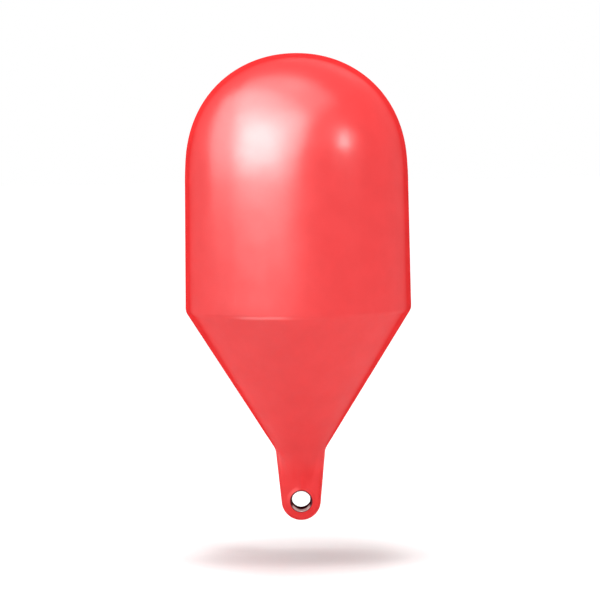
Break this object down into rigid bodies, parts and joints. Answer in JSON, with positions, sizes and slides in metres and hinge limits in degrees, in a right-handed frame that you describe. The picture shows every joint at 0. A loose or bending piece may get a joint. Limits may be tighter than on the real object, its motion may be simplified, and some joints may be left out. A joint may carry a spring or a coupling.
{
  "type": "mooring buoy",
  "caption": "Moulded mooring buoy with a domed float, a cone below it and a flat lug with an eye for a rope or shackle.",
  "frame": {"origin": "middle of the mooring eye, where the float's axis crosses the eye's axis", "axes": "+Z along the float's axis from the eye to the dome, +Y along the eye's axis"},
  "size_m": [0.25, 0.25, 0.5164],
  "materials": {
    "float_plastic": "satin gloss red polyethylene, as moulded"
  },
  "bodies": {
    "root": {"buoy_body": "float_plastic"}
  },
  "joints": []
}
